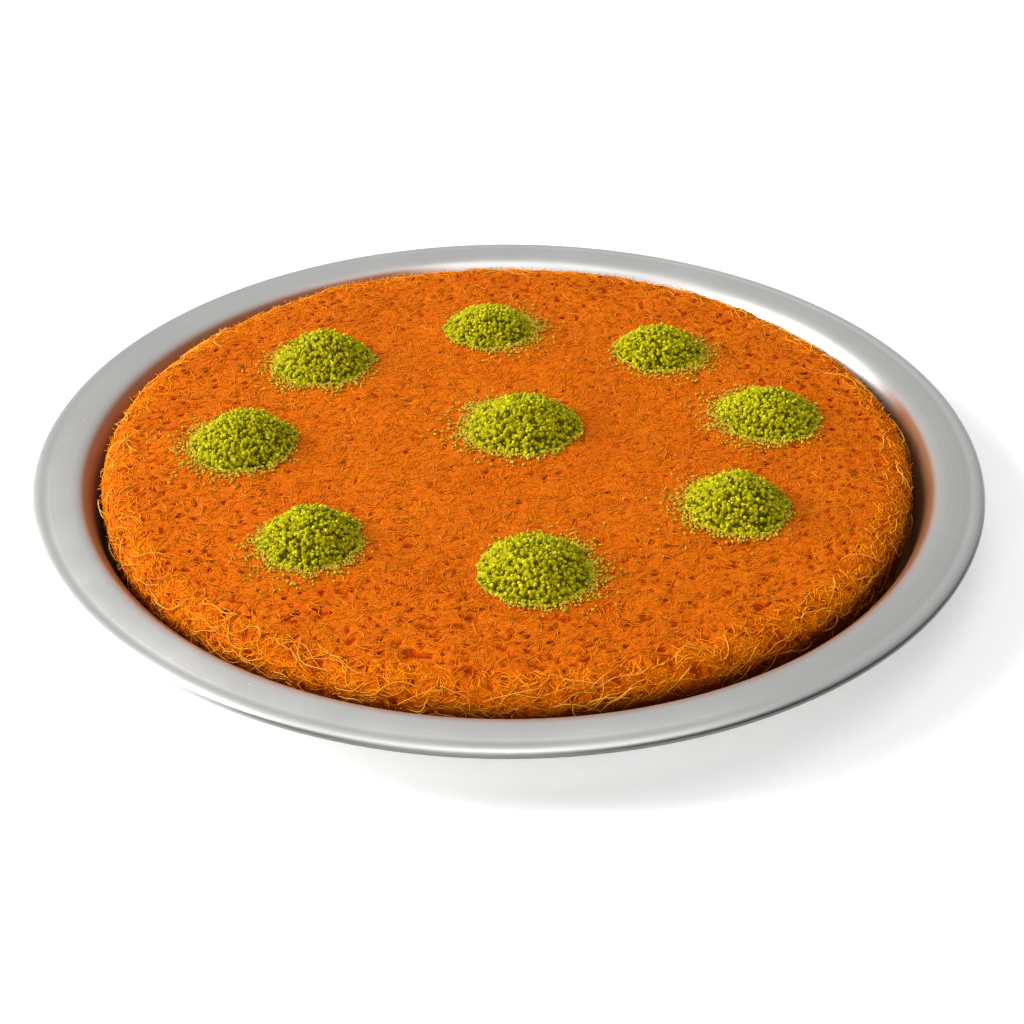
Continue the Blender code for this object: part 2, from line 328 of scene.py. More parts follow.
    # The wall leans outwards, so its inside faces up and its outside faces down
    facing = add_node(tree, "ShaderNodeTexCoord").outputs["Normal"]
    upward = add_node(tree, "ShaderNodeSeparateXYZ", None, {"Vector": facing}).outputs["Z"]
    faces_up = add_node(tree, "ShaderNodeMath", {"operation": "GREATER_THAN"}, {0: upward, 1: 0.0})
    inside = add_node(
        tree, "ShaderNodeMath", {"operation": "MULTIPLY"}, {0: in_lip.outputs[0], 1: faces_up.outputs[0]}
    )
    to_lit_wall = add_node(
        tree,
        "ShaderNodeVectorMath",
        {"operation": "DOT_PRODUCT"},
        {0: place, 1: (math.cos(LIT_WALL_SIDE), math.sin(LIT_WALL_SIDE), 0)},
    )
    reflection_side = add_node(
        tree,
        "ShaderNodeMapRange",
        {"interpolation_type": "SMOOTHSTEP"},
        {
            "Value": to_lit_wall.outputs["Value"],
            "From Min": 0.58 * TRAY_RADIUS,
            "From Max": 0.73 * TRAY_RADIUS,
            "To Min": 1.0,
            "To Max": 0.0,
        },
    )
    wall_band_inside = add_node(
        tree, "ShaderNodeMath", {"operation": "MULTIPLY"}, {0: wall_band.outputs["Result"], 1: inside.outputs[0]}
    )
    painted_reflection = add_node(
        tree,
        "ShaderNodeMath",
        {"operation": "MULTIPLY"},
        {0: wall_band_inside.outputs[0], 1: reflection_side.outputs["Result"]},
    )
    painted_brown = add_node(
        tree,
        "ShaderNodeMix",
        {"data_type": "RGBA"},
        {MIX_FACTOR: painted_reflection.outputs[0], MIX_A: bead_shaded.outputs[MIX_RESULT], MIX_B: linear("925218")},
    )
    tree.links.new(painted_brown.outputs[MIX_RESULT], shader.inputs["Base Color"])
    metal_share = add_node(
        tree, "ShaderNodeMath", {"operation": "MULTIPLY_ADD"}, {0: painted_reflection.outputs[0], 1: -0.8, 2: 1.0}
    )
    tree.links.new(metal_share.outputs[0], shader.inputs["Metallic"])
    dulled = add_node(
        tree,
        "ShaderNodeMapRange",
        None,
        {"Value": patches, "From Min": 0.3, "From Max": 0.7, "To Min": 0.36, "To Max": 0.44},
    )
    tree.links.new(dulled.outputs["Result"], shader.inputs["Roughness"])
    bump = add_node(tree, "ShaderNodeBump", None, {"Height": rings, "Strength": 0.3, "Distance": 0.02 * MM})
    tree.links.new(bump.outputs["Normal"], shader.inputs["Normal"])
    tangent = add_node(tree, "ShaderNodeTangent", {"direction_type": "RADIAL", "axis": "Z"})
    tree.links.new(tangent.outputs["Tangent"], shader.inputs["Tangent"])
    return made


def laid_strands(tree, place):
    """Strands that lie over each other in three directions, as 1 on the upper ones and 0 in the gaps."""
    # A slow noise bends them by up to 2 mm each way
    bend = add_node(
        tree, "ShaderNodeTexNoise", None, {"Vector": place, "Scale": 1 / (8 * MM), "Detail": 1.0}
    )
    bent = add_node(
        tree,
        "ShaderNodeVectorMath",
        {"operation": "MULTIPLY_ADD"},
        {0: bend.outputs["Color"], 1: (4 * MM, 4 * MM, 4 * MM), 2: place},
    ).outputs["Vector"]
    upper = 0.0
    for turn in (8, 65, 130):
        # Each strand is about 0.8 mm thick and shows for about 5 mm
        along = add_node(
            tree,
            "ShaderNodeMapping",
            {"vector_type": "TEXTURE"},
            {
                "Vector": bent,
                "Location": (turn * MM, 0, 0),
                "Rotation": (0, 0, math.radians(turn)),
                "Scale": (5 * MM, 0.9 * MM, 0.9 * MM),
            },
        ).outputs["Vector"]
        layer = add_node(tree, "ShaderNodeTexNoise", None, {"Vector": along, "Scale": 1.0, "Detail": 1.0})
        shown = add_node(
            tree,
            "ShaderNodeMapRange",
            {"interpolation_type": "SMOOTHSTEP"},
            {"Value": layer.outputs["Fac"], "From Min": 0.44, "From Max": 0.62},
        ).outputs["Result"]
        upper = add_node(tree, "ShaderNodeMath", {"operation": "MAXIMUM"}, {0: upper, 1: shown}).outputs[0]
    return upper


def fried_pastry(name, shade, body, light, foot, matted=False):
    """Shredded kataifi dough, dyed orange, fried in ghee against a flat pan and wetted with syrup.

    Each strand has its own tone, from how long it fried, and the foot is dark, partly wet with syrup
    and partly as painted shade. Small pits, where the mat has opened, are painted dark red as shade.
    Ghee and syrup are amber, so the faint sheen is amber too and the orange stays pure. The wet dough
    lets light in for a millimetre or so, which softens the shadows between strands. The matted body
    shows strands pressed into one another, with painted shade in the gaps between them.
    """
    made, tree, shader = new_material(
        name,
        Roughness=0.7,
        IOR=1.45,
        Specular_IOR_Level=0.1,
        Subsurface_Weight=0.2,
        Subsurface_Scale=1.4 * MM,
    )
    shader.inputs["Subsurface Radius"].default_value = (1.0, 0.4, 0.1)
    shader.inputs["Specular Tint"].default_value = linear("FF9838")
    place = add_node(tree, "ShaderNodeTexCoord").outputs["Object"]
    own = add_node(tree, "ShaderNodeNewGeometry").outputs["Random Per Island"]
    # Fried patches about 28 mm across
    patches = add_node(
        tree, "ShaderNodeTexNoise", None, {"Vector": place, "Scale": 1 / (28 * MM), "Detail": 4.0}
    ).outputs["Fac"]
    # Freckles along a strand, about 1.6 mm long
    freckles = add_node(
        tree, "ShaderNodeTexNoise", None, {"Vector": place, "Scale": 1 / (1.6 * MM), "Detail": 2.0}
    ).outputs["Fac"]
    darker = add_node(
        tree,
        "ShaderNodeMapRange",
        None,
        {"Value": patches, "From Min": 0.3, "From Max": 0.7, "To Min": 0.3, "To Max": 0.0},
    )
    freckled = add_node(
        tree,
        "ShaderNodeMapRange",
        None,
        {"Value": freckles, "From Min": 0.35, "From Max": 0.65, "To Min": 0.25, "To Max": 0.0},
    )
    depth = add_node(
        tree,
        "ShaderNodeMath",
        {"operation": "ADD", "use_clamp": True},
        {0: darker.outputs["Result"], 1: freckled.outputs["Result"]},
    )
    # Painted shade: on the matted body the gaps between laid strands take the darker body colour, and the
    # upper strands the light one
    upper = laid_strands(tree, place) if matted else own
    strand = add_node(
        tree,
        "ShaderNodeMix",
        {"data_type": "RGBA"},
        {MIX_FACTOR: upper, MIX_A: linear(body), MIX_B: linear(light)},
    )
    tone = add_node(
        tree,
        "ShaderNodeMix",
        {"data_type": "RGBA"},
        {MIX_FACTOR: depth.outputs[0], MIX_A: strand.outputs[MIX_RESULT], MIX_B: linear(shade)},
    )
    # Painted shade: pits are drawn dark red, the deeper the darker
    pit_depth_and_shade = add_node(tree, "ShaderNodeAttribute", {"attribute_name": "pit_depth_and_shade"}).outputs["Fac"]
    pit_shaded_tone = add_node(
        tree,
        "ShaderNodeMix",
        {"data_type": "RGBA"},
        {MIX_FACTOR: pit_depth_and_shade, MIX_A: tone.outputs[MIX_RESULT], MIX_B: linear("983004")},
    )
    level = add_node(
        tree,
        "ShaderNodeVectorMath",
        {"operation": "DOT_PRODUCT"},
        {0: place, 1: (-FOOT_SHADE_SLOPE, 0, 1)},
    )
    # Painted shade, in part: the foot darkens downwards, and more so on the right
    soaked_and_shaded = add_node(
        tree,
        "ShaderNodeMapRange",
        {"interpolation_type": "SMOOTHSTEP"},
        {
            "Value": level.outputs["Value"],
            "From Min": FOOT_DARK_FULL_Z,
            "From Max": FOOT_DARK_START_Z,
            "To Min": 0.9,
            "To Max": 0.0,
        },
    )
    foot_darkened = add_node(
        tree,
        "ShaderNodeMix",
        {"data_type": "RGBA"},
        {MIX_FACTOR: soaked_and_shaded.outputs["Result"], MIX_A: pit_shaded_tone.outputs[MIX_RESULT], MIX_B: linear(foot)},
    )
    tree.links.new(foot_darkened.outputs[MIX_RESULT], shader.inputs["Base Color"])
    relief_height = upper if matted else freckles
    bump = add_node(
        tree, "ShaderNodeBump", None, {"Height": relief_height, "Strength": 0.5, "Distance": 0.2 * MM}
    )
    tree.links.new(bump.outputs["Normal"], shader.inputs["Normal"])
    return made


def ground_pistachio(name, dark, light):
    """Green pistachio kernels, ground dry.

    A matt, mealy crumb; each grain is a piece of the yellow inside or of the greener outside of a kernel.
    """
    made, tree, shader = new_material(name, Roughness=0.8, IOR=1.47, Specular_IOR_Level=0.2)
    shader.inputs["Specular Tint"].default_value = linear("F0F080")
    place = add_node(tree, "ShaderNodeTexCoord").outputs["Object"]
    own = add_node(tree, "ShaderNodeNewGeometry").outputs["Random Per Island"]
    # Meal on a grain, 0.5 mm across
    meal = add_node(
        tree, "ShaderNodeTexNoise", None, {"Vector": place, "Scale": 1 / (0.5 * MM), "Detail": 2.0}
    ).outputs["Fac"]
    kernel = add_node(
        tree,
        "ShaderNodeMix",
        {"data_type": "RGBA"},
        {MIX_FACTOR: own, MIX_A: linear(dark), MIX_B: linear(light)},
    )
    tone = add_node(
        tree,
        "ShaderNodeMix",
        {"data_type": "RGBA", "blend_type": "MULTIPLY"},
        {MIX_FACTOR: meal, MIX_A: kernel.outputs[MIX_RESULT], MIX_B: linear("D0D090")},
    )
    # Painted shade: the creases between clumps are drawn darker
    crease = add_node(tree, "ShaderNodeAttribute", {"attribute_name": "crease"}).outputs["Fac"]
    crease_shade = add_node(
        tree,
        "ShaderNodeMapRange",
        None,
        {"Value": crease, "From Min": 0.28, "From Max": 0.7, "To Max": 0.88},
    )
    crease_shaded = add_node(
        tree,
        "ShaderNodeMix",
        {"data_type": "RGBA"},
        {MIX_FACTOR: crease_shade.outputs["Result"], MIX_A: tone.outputs[MIX_RESULT], MIX_B: linear("343204")},
    )
    tree.links.new(crease_shaded.outputs[MIX_RESULT], shader.inputs["Base Color"])
    bump = add_node(tree, "ShaderNodeBump", None, {"Height": meal, "Strength": 0.5, "Distance": 0.1 * MM})
    tree.links.new(bump.outputs["Normal"], shader.inputs["Normal"])
    return made


def smoothstep(value):
    value = np.clip(value, 0.0, 1.0)
    return value * value * (3 - 2 * value)


class Mound:
    """One mound's place, radius and height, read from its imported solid.

    phase makes its outline its own, and drift is the side that its loose grains fell to.
    """

    def __init__(self, place, phase, drift):
        self.node = f"pistachio_mound_{place}"
        self.phase = phase
        low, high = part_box(self.node)
        self.x = (low.x + high.x) / 2
        self.y = (low.y + high.y) / 2
        self.radius = (high.x - low.x + high.y - low.y) / 4
        self.foot_z = low.z
        self.drift = drift
        self.height = high.z - low.z

    def outline(self, angle):
        wave = 0.6 * np.sin(2 * angle + self.phase) + 0.4 * np.sin(5 * angle + 2 * self.phase)
        ragged = 0.5 * np.sin(9 * angle + 3 * self.phase) + 0.5 * np.sin(16 * angle + 5 * self.phase)
        return self.radius * (1 + MOUND_OUTLINE_WAVE * wave) + MOUND_RAGGED * ragged


mounds = [
    Mound(place, 1.0 + 0.7 * k, math.radians(drift)) for k, (place, drift) in enumerate(MOUND_PLACES.items())
]


def wave_grid(spacing):
    """The bare top's wave at the crossings of a square grid over the tray."""
    axis = np.arange(-TRAY_RADIUS, TRAY_RADIUS + spacing, spacing)
    rows = [[TOP_WAVE * noise.noise(Vector((x, y, 0.013)) / TOP_WAVE_LENGTH) for x in axis] for y in axis]
    return np.array(rows)


WAVE_SPACING = 4 * MM
WAVES = wave_grid(WAVE_SPACING)


def bare_wave(x, y):
    """The wave of the bare top, read between the grid's crossings."""
    column = np.clip((x + TRAY_RADIUS) / WAVE_SPACING, 0, WAVES.shape[1] - 1.001)
    row = np.clip((y + TRAY_RADIUS) / WAVE_SPACING, 0, WAVES.shape[0] - 1.001)
    i = column.astype(int)
    j = row.astype(int)
    u = column - i
    v = row - j
    near = WAVES[j, i] * (1 - u) + WAVES[j, i + 1] * u
    far = WAVES[j + 1, i] * (1 - u) + WAVES[j + 1, i + 1] * u
    return near * (1 - v) + far * v


def top_height(x, y):
    """The top of the round, gently uneven and level under each mound."""
    height = bare_wave(x, y)
    for mound in mounds:
        beyond = np.hypot(x - mound.x, y - mound.y) - mound.radius - 2 * SEAT_MARGIN
        share = smoothstep(beyond / SEAT_BLEND)
        height = share * height + (1 - share) * (mound.foot_z - GAP - KUNAFA_TOP_Z)
    return KUNAFA_TOP_Z + height


def outline_wave(angle):
    """How far the kunafa's edge is in or out of true round at each angle."""
    broad = 0.5 * np.sin(3 * angle + 0.8)
    fine = 0.3 * np.sin(7 * angle) + 0.2 * np.sin(16 * angle)
    return OUTLINE_WAVE * (broad + fine)


def unit(vectors):
    return vectors / np.maximum(np.linalg.norm(vectors, axis=-1, keepdims=True), 1e-12)


def on_round(along, angle):
    """Points on the kunafa's skin, at distances along it from the top's middle, and outward directions."""
    turn = math.pi / 2 * np.clip((along - FLAT_RADIUS) / EDGE_ARC, 0, 1)
    down = np.clip(along - FLAT_RADIUS - EDGE_ARC, 0, SIDE_DEPTH)
    radius = np.minimum(along, FLAT_RADIUS) + EDGE_WIDTH * np.sin(turn)
    radius = radius + outline_wave(angle) * smoothstep(radius / FLAT_RADIUS)
    inset = np.clip((down - SIDE_STRAIGHT) / (SIDE_DEPTH - SIDE_STRAIGHT), 0, 1)
    radius = radius - (KUNAFA_RADIUS - KUNAFA_FOOT_RADIUS) * inset
    x = KUNAFA_SHIFT_X + radius * np.cos(angle)
    y = radius * np.sin(angle)
    z = top_height(x, y) - EDGE_DROP * (1 - np.cos(turn)) - down
    sideways = EDGE_DROP * np.sin(turn)
    upward = EDGE_WIDTH * np.cos(turn)
    outward = unit(np.stack([sideways * np.cos(angle), sideways * np.sin(angle), upward], -1))
    return np.stack([x, y, z], -1), outward


def in_a_mound(x, y, margin):
    """Which places are in a mound, or within a margin of one."""
    inside = np.zeros(np.shape(x), bool)
    for mound in mounds:
        inside |= np.hypot(x - mound.x, y - mound.y) < mound.radius + margin
    return inside


def new_piece(name, points, faces, finish, nodes=(), smooth=True):
    """A piece that rides with the tray, from an array of points and lists of faces."""
    mesh = bpy.data.meshes.new(name)
    mesh.from_pydata(np.asarray(points).tolist(), [], faces)
    mesh.materials.append(finish)
    if smooth:
        mesh.shade_smooth()
    obj = bpy.data.objects.new(name, mesh)
    bpy.context.scene.collection.objects.link(obj)
    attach(obj, "root")
    if nodes:
        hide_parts(*nodes)
    return obj


def arc(centre_r, centre_z, radius, start, end, steps, flatness=1.0):
    """Points (r, z) on an arc, which flatness squashes; the angles are in degrees, 0 outwards and 90 up."""
    points = []
    for step in range(steps + 1):
        angle = math.radians(start + (end - start) * step / steps)
        points.append((centre_r + radius * math.cos(angle), centre_z + flatness * radius * math.sin(angle)))
    return points


def tray_profile():
    """The tray's section, from the middle of its inside, over the rim, to the middle of its underside."""
    lean = math.degrees(WALL_LEAN)
    corner_z = SHEET + BASE_CORNER
    lip_z = RIM_Z - LIP_FILLET
    bead_r = TRAY_RADIUS - BEAD_RADIUS
    inside = [(0, SHEET), (0.5 * BASE_RADIUS, SHEET)]
    inside += arc(BASE_RADIUS, corner_z, BASE_CORNER, -90, -lean, 10)
    inside += arc(RIM_INNER_RADIUS, lip_z, LIP_FILLET, 180 - lean, 90, 16)
    # A shallow valley parts the flat of the rim from the bead
    inside += [(bead_r - 5.0 * MM, RIM_Z), (bead_r - 3.6 * MM, RIM_Z - 0.25 * MM)]
    inside += [(bead_r - 2.6 * MM, RIM_Z - 0.35 * MM)]
    bead_z = RIM_Z - BEAD_FLATNESS * BEAD_RADIUS
    bead = arc(bead_r, bead_z, BEAD_RADIUS, 118, BEAD_END, 24, BEAD_FLATNESS)
    neck = [(bead_r - BEAD_NECK, RIM_Z - SHEET)]
    underside = arc(RIM_INNER_RADIUS, lip_z, LIP_FILLET - SHEET, 90, 180 - lean, 12)
    underside += arc(BASE_RADIUS, corner_z, BASE_CORNER + SHEET, -lean, -90, 10)
    return inside + bead + neck + underside + [(0.5 * BASE_RADIUS, 0), (0, 0)]


def make_tray(finish):
    """The tray, turned from its section like the real one is spun."""
    bm = bmesh.new()
    section = [bm.verts.new((r, 0, z)) for r, z in tray_profile()]
    edges = [bm.edges.new(pair) for pair in zip(section, section[1:])]
    bmesh.ops.spin(
        bm,
        geom=section + edges,
        axis=(0, 0, 1),
        cent=(0, 0, 0),
        angle=2 * math.pi,
        steps=TRAY_SIDES,
        use_merge=True,
    )
    bmesh.ops.remove_doubles(bm, verts=bm.verts, dist=0.01 * MM)
    bmesh.ops.recalc_face_normals(bm, faces=bm.faces)
    mesh = bpy.data.meshes.new("turned_tray")
    bm.to_mesh(mesh)
    bm.free()
    mesh.materials.append(finish)
    mesh.shade_smooth()
    mesh.set_sharp_from_angle(angle=math.radians(35))
    tray = bpy.data.objects.new("turned_tray", mesh)
    bpy.context.scene.collection.objects.link(tray)
    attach(tray, "root")
    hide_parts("tray")


def disc_grid(cells):
    """A square grid drawn out to a round one: its points' x and y in a unit disc, its faces and its rim."""
    axis = np.linspace(-1, 1, cells + 1)
    across, up = np.meshgrid(axis, axis)
    x = across * np.sqrt(1 - up**2 / 2)
    y = up * np.sqrt(1 - across**2 / 2)
    row = cells + 1
    faces = []
    for j in range(cells):
        for i in range(cells):
            corner = j * row + i
            faces.append((corner, corner + 1, corner + row + 1, corner + row))
    low = list(range(0, cells))
    right = [k * row + cells for k in range(cells)]
    high = [cells * row + k for k in range(cells, 0, -1)]
    left = [k * row for k in range(cells, 0, -1)]
    return x.ravel(), y.ravel(), faces, low + right + high + left


def relief(points, size, seed):
    """Noise from about -1 to 1 at an array of points."""
    shift = Vector((seed, 2 * seed, 3 * seed))
    return np.array([noise.noise(Vector(point) / size + shift) for point in points])


def matted_lift(points):
    """How far the mat's lumps and felt lift its top over the plain skin."""
    return LUMP * relief(points, LUMP_SIZE, 1) + FELT * relief(points, FELT_SIZE, 3)


def pitted(points):
    """How far into a pit each point is, from 0 to 1; they crowd to the edge and are wider at the front."""
    reach = np.hypot(points[:, 0], points[:, 1]) / KUNAFA_RADIUS
    crowded = smoothstep(PIT_CROWDING * (reach - 1) + 1)
    least = PIT_LEAST_MIDDLE + (PIT_LEAST_EDGE - PIT_LEAST_MIDDLE) * crowded
    small = smoothstep((relief(points, PIT_SIZE, 7) - least) / PIT_SOFTNESS)
    forward = smoothstep(-points[:, 1] / KUNAFA_RADIUS)
    squeezed = points / (FRONT_PIT_STRETCH, 1, 1)
    least_wide = FRONT_PIT_LEAST + BACK_PIT_RARITY * (1 - forward)
    wide = smoothstep((relief(squeezed, FRONT_PIT_SIZE, 9) - least_wide) / PIT_SOFTNESS)
    return np.maximum(small, wide)


def mark(piece, name, values):
    """Gives a piece's corners a value each, for its material to read."""
    piece.data.attributes.new(name, "FLOAT", "POINT").data.foreach_set("value", np.asarray(values, float))


def make_core(finish):
    """The matted body of the kunafa, a little under the strands that cover it, with lumps and small pits."""
    x, y, faces, rim = disc_grid(CORE_CELLS)
    along = FLAT_RADIUS * np.hypot(x, y)
    angle = np.arctan2(y, x)
    rim_angle = angle[rim]
    deepest = EDGE_ARC + SIDE_DEPTH
    rows = [(along, angle)]
    for ring in range(1, CORE_SIDE_RINGS + 1):
        rows.append((np.full(len(rim), FLAT_RADIUS + deepest * ring / CORE_SIDE_RINGS), rim_angle))
    last = list(rim)
    count = len(x)
    for _ in range(CORE_SIDE_RINGS):
        ring = list(range(count, count + len(rim)))
        count += len(rim)
        for k in range(len(rim)):
            after = (k + 1) % len(rim)
            faces.append((last[k], ring[k], ring[after], last[after]))
        last = ring
    faces.append(last[::-1])
    points, outward = on_round(np.concatenate([r[0] for r in rows]), np.concatenate([r[1] for r in rows]))
    lift = matted_lift(points)
    pit_depth_and_shade = pitted(points)
    lift -= PIT_DEPTH * pit_depth_and_shade + CORE_SINK
    lift[in_a_mound(points[:, 0], points[:, 1], margin=0)] = -CORE_SINK
    raised = points + lift[:, None] * outward
    raised[last, 2] = KUNAFA_BASE_Z
    core = new_piece("kunafa_core", raised, faces, finish, ["kunafa"])
    # The pits' depth is kept on the core for the painted shade in them
    mark(core, "pit_depth_and_shade", pit_depth_and_shade)


def strand_lines(rng, along, angle, heading, bend, length, segments):
    """Centre lines of strands on the round, one row a strand: distances along the skin, and angles."""
    count = len(along)
    middle = (np.arange(segments) + 0.5) / segments
    waves = rng.uniform(0.6, 1.6, (count, 1)) * middle + rng.uniform(0, 1, (count, 1))
    wavy = STRAND_WAVE * np.sin(2 * math.pi * waves)
    direction = heading[:, None] + bend[:, None] * (middle - 0.5) + wavy
    step = (length / segments)[:, None]
    ahead = np.cumsum(step * np.cos(direction), axis=1)
    aside = np.cumsum(step * np.sin(direction), axis=1)
    zero = np.zeros((count, 1))
    ahead = np.concatenate([zero, ahead], axis=1)
    aside = np.concatenate([zero, aside], axis=1)
    half = segments // 2
    x = along[:, None] + ahead - ahead[:, half : half + 1]
    y = aside - aside[:, half : half + 1]
    return np.hypot(x, y), angle[:, None] + np.arctan2(y, x)


def tubes(lines, facing, half_width, half_height, tip):
    """Closed three-sided tubes along rows of points, with a ridge on the facing side.

    tip is the width of a tube's ends, as a share of the rest.
    """
    count, steps, _ = lines.shape
    ahead = unit(np.gradient(lines, axis=1))
    side = unit(np.cross(ahead, facing))
    up = np.cross(side, ahead)
    taper = np.ones(steps)
    taper[[0, -1]] = tip
    corners = []
    for turn in (90, 210, 330):
        across = math.cos(math.radians(turn)) * taper[None, :, None] * half_width[:, None, None] * side
        rise = math.sin(math.radians(turn)) * taper[None, :, None] * half_height[:, None, None] * up
        corners.append(lines + across + rise)
    points = np.stack(corners, 2).reshape(-1, 3)
    ring = 3 * (np.arange(count)[:, None] * steps + np.arange(steps - 1)[None, :]).ravel()
    quads = []
    for k in range(3):
        after = (k + 1) % 3
        quads.append(np.stack([ring + k, ring + after, ring + 3 + after, ring + 3 + k], 1))
    first = 3 * np.arange(count) * steps
    end = first + 3 * (steps - 1)
    caps = np.concatenate([np.stack([first + 2, first + 1, first], 1), np.stack([end, end + 1, end + 2], 1)])
    return points, np.concatenate(quads).tolist() + caps.tolist()


def make_strands(
    name,
    finish,
    seed,
    count,
    band,
    half_width,
    length,
    segments,
    bend,
    roundness,
    thickness,
    level,
    arch,
    end_dip,
):
    """One kind of strand, strewn over a band of the skin.

    band is the nearest and farthest distance along the skin, and level the lowest and highest that a
    strand lies over it. bend is in radians, roundness is how far a strand keeps to going round the tray,
    and thickness its height for its width. Its middle arches up by arch, and its ends dip by end_dip.
    """
    rng = np.random.default_rng(seed)
    nearest, farthest = band
    lowest, highest = level
    along = np.sqrt(rng.uniform(nearest**2, farthest**2, count))
    angle = rng.uniform(0, 2 * math.pi, count)
    heading = math.pi / 2 + rng.uniform(-1, 1, count) * (1 - roundness) * math.pi / 2
    lengths = length * rng.uniform(0.55, 1.45, count)
    bends = rng.uniform(-bend, bend, count)
    reach, turn = strand_lines(rng, along, angle, heading, bends, lengths, segments)
    points, outward = on_round(reach, turn)
    middle = points[:, segments // 2]
    open_share = pitted(points.reshape(-1, 3)).reshape(count, -1).mean(axis=1)
    kept = ~in_a_mound(middle[:, 0], middle[:, 1], margin=-4 * MM) & (open_share < OPEN_SHARE)
    share = np.arange(segments + 1) / segments
    rise = rng.uniform(lowest, highest, (count, 1))
    # Strands arch up the most on the serving side
    ruffled = 0.4 + 0.6 * smoothstep(0.6 + 0.7 * np.cos(angle - RUFFLED_SIDE))[:, None]
    arched = arch * ruffled * rng.uniform(0, 1, (count, 1)) ** 2 * np.sin(math.pi * share)[None, :]
    over = rise + arched + matted_lift(points.reshape(-1, 3)).reshape(count, -1)
    over[:, [0, -1]] -= end_dip * rng.uniform(0.2, 1, (count, 2))
    lines = points + over[:, :, None] * outward
    lines[:, :, 2] = np.maximum(lines[:, :, 2], KUNAFA_BASE_Z + half_width)
    widths = half_width * rng.uniform(0.75, 1.25, count)
    made, faces = tubes(lines[kept], outward[kept], widths[kept], thickness * widths[kept], STRAND_TIP)
    return new_piece(name, made, faces, finish)


def make_whiskers(name, finish, seed, count, band, half_width, length):
    """Ends of strands that stick out of the rounded edge and the side, in three points each."""
    rng = np.random.default_rng(seed)
    nearest, farthest = band
    along = rng.uniform(nearest, farthest, count)
    angle = rng.uniform(0, 2 * math.pi, count)
    roots, outward = on_round(along, angle)
    around = np.stack([-np.sin(angle), np.cos(angle), np.zeros(count)], -1)
    down = np.cross(around, outward)
    lean = unit(
        0.7 * outward + rng.uniform(-1, 1, (count, 1)) * around + rng.uniform(-0.8, 0.8, (count, 1)) * down
    )
    bow = 0.35 * (rng.uniform(-1, 1, (count, 1)) * around + rng.uniform(-1, 1, (count, 1)) * down)
    lengths = length * rng.uniform(0.4, 1.3, (count, 1))
    start = roots - WHISKER_ROOT * outward
    lines = np.stack([start, start + 0.55 * lengths * lean, start + lengths * unit(lean + bow)], 1)
    widths = half_width * rng.uniform(0.75, 1.25, count)
    facing = np.repeat(unit(np.cross(lean, around) + 0.01 * outward)[:, None, :], 3, axis=1)
    made, faces = tubes(lines, facing, widths, widths, WHISKER_TIP)
    return new_piece(name, made, faces, finish)


def solid_shape(bm):
    """The corners and faces of a small solid, as arrays."""
    corners = np.array([vert.co[:] for vert in bm.verts])
    faces = np.array([[vert.index for vert in face.verts] for face in bm.faces])
    bm.free()
    return corners, faces


def crumb_shape():
    """A twenty-sided crumb of radius 1."""
    bm = bmesh.new()
    bmesh.ops.create_icosphere(bm, subdivisions=1, radius=1.0)
    return solid_shape(bm)


def splinter_shape():
    """An eight-sided splinter of radius 1."""
    bm = bmesh.new()
    for turn in (0, 90, 180, 270):
        bm.verts.new((math.cos(math.radians(turn)), math.sin(math.radians(turn)), 0))
    bm.verts.new((0, 0, 1))
    bm.verts.new((0, 0, -1))
    bmesh.ops.convex_hull(bm, input=bm.verts)
    bm.verts.index_update()
    return solid_shape(bm)


CRUMB = crumb_shape()
SPLINTER = splinter_shape()


def turns(rng, count):
    """Random rotation matrices."""
    q = unit(rng.normal(size=(count, 4)))
    w, x, y, z = q.T
    rows = [
        [1 - 2 * (y * y + z * z), 2 * (x * y - z * w), 2 * (x * z + y * w)],
        [2 * (x * y + z * w), 1 - 2 * (x * x + z * z), 2 * (y * z - x * w)],
        [2 * (x * z - y * w), 2 * (y * z + x * w), 1 - 2 * (x * x + y * y)],
    ]
    return np.stack([np.stack(row, -1) for row in rows], 1)


def make_grains(name, rng, centres, radii, shape, finish):
    """Broken nut grains, each stretched, turned and chipped its own way."""
    corners, sides = shape
    count = len(centres)
    stretch = rng.uniform(0.65, 1.25, (count, 1, 3))
    chipped = corners[None] * stretch * rng.uniform(0.75, 1.15, (count, len(corners), 1))
    turned = np.einsum("nij,nkj->nki", turns(rng, count), chipped)
    points = centres[:, None, :] + radii[:, None, None] * turned
    faces = sides[None] + len(corners) * np.arange(count)[:, None, None]
    flat = points.reshape(-1, 3)
    return new_piece(name, flat, faces.reshape(-1, 3).tolist(), finish, smooth=False)


def dome_rise(share, height):
    """The height over the foot, at shares of the radius, of a dome with a given height."""
    return height * (1 - np.clip(share, 0, 1) ** 2) ** DOME_POWER


def rounded_lumps(points, size):
    """Lumps pressed together about a size apart, from 1 on their round tops to -1 in the creases."""
    nearest = np.array([noise.voronoi(Vector(point) / size)[0][0] for point in points])
    return 1 - 2 * np.clip(nearest / CREASE_REACH, 0, 1) ** 2


